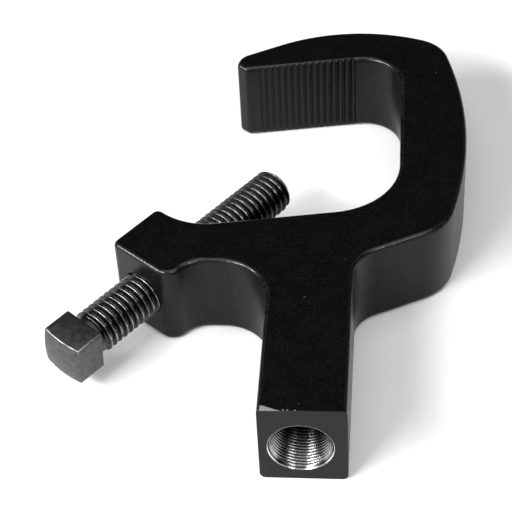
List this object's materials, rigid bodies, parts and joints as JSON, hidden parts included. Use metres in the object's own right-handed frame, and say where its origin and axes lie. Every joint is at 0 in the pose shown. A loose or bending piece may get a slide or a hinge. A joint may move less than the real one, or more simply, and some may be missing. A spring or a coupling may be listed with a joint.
{
  "type": "pipe clamp",
  "caption": "Hook-shaped machined pipe clamp with a slanted square-head clamping screw, a serrated jaw and a stem with a tapped end.",
  "frame": {"origin": "centre of the tapped hole's mouth on the stem's end face; the body's mid-plane lies 1.05 mm in front of it", "axes": "+Y up the stem towards the hook, +X towards the hook's back, +Z out of the flat front face; the clamp lies on its back face"},
  "size_m": [0.109, 0.1487, 0.0253],
  "materials": {
    "black_anodised_aluminium": "satin black anodised",
    "black_oxide_steel": "black oxide, lightly oiled",
    "bare_aluminium": "bright cut thread"
  },
  "bodies": {
    "body": {"clamp_body": "black_anodised_aluminium"},
    "screw": {"clamp_screw": "black_oxide_steel"}
  },
  "joints": [
    {"name": "screw_feed", "type": "slide", "parent": "body", "child": "screw", "axis": [0.6143, 0.7891, 0], "range_m": [-0.034, 0.0197]}
  ]
}
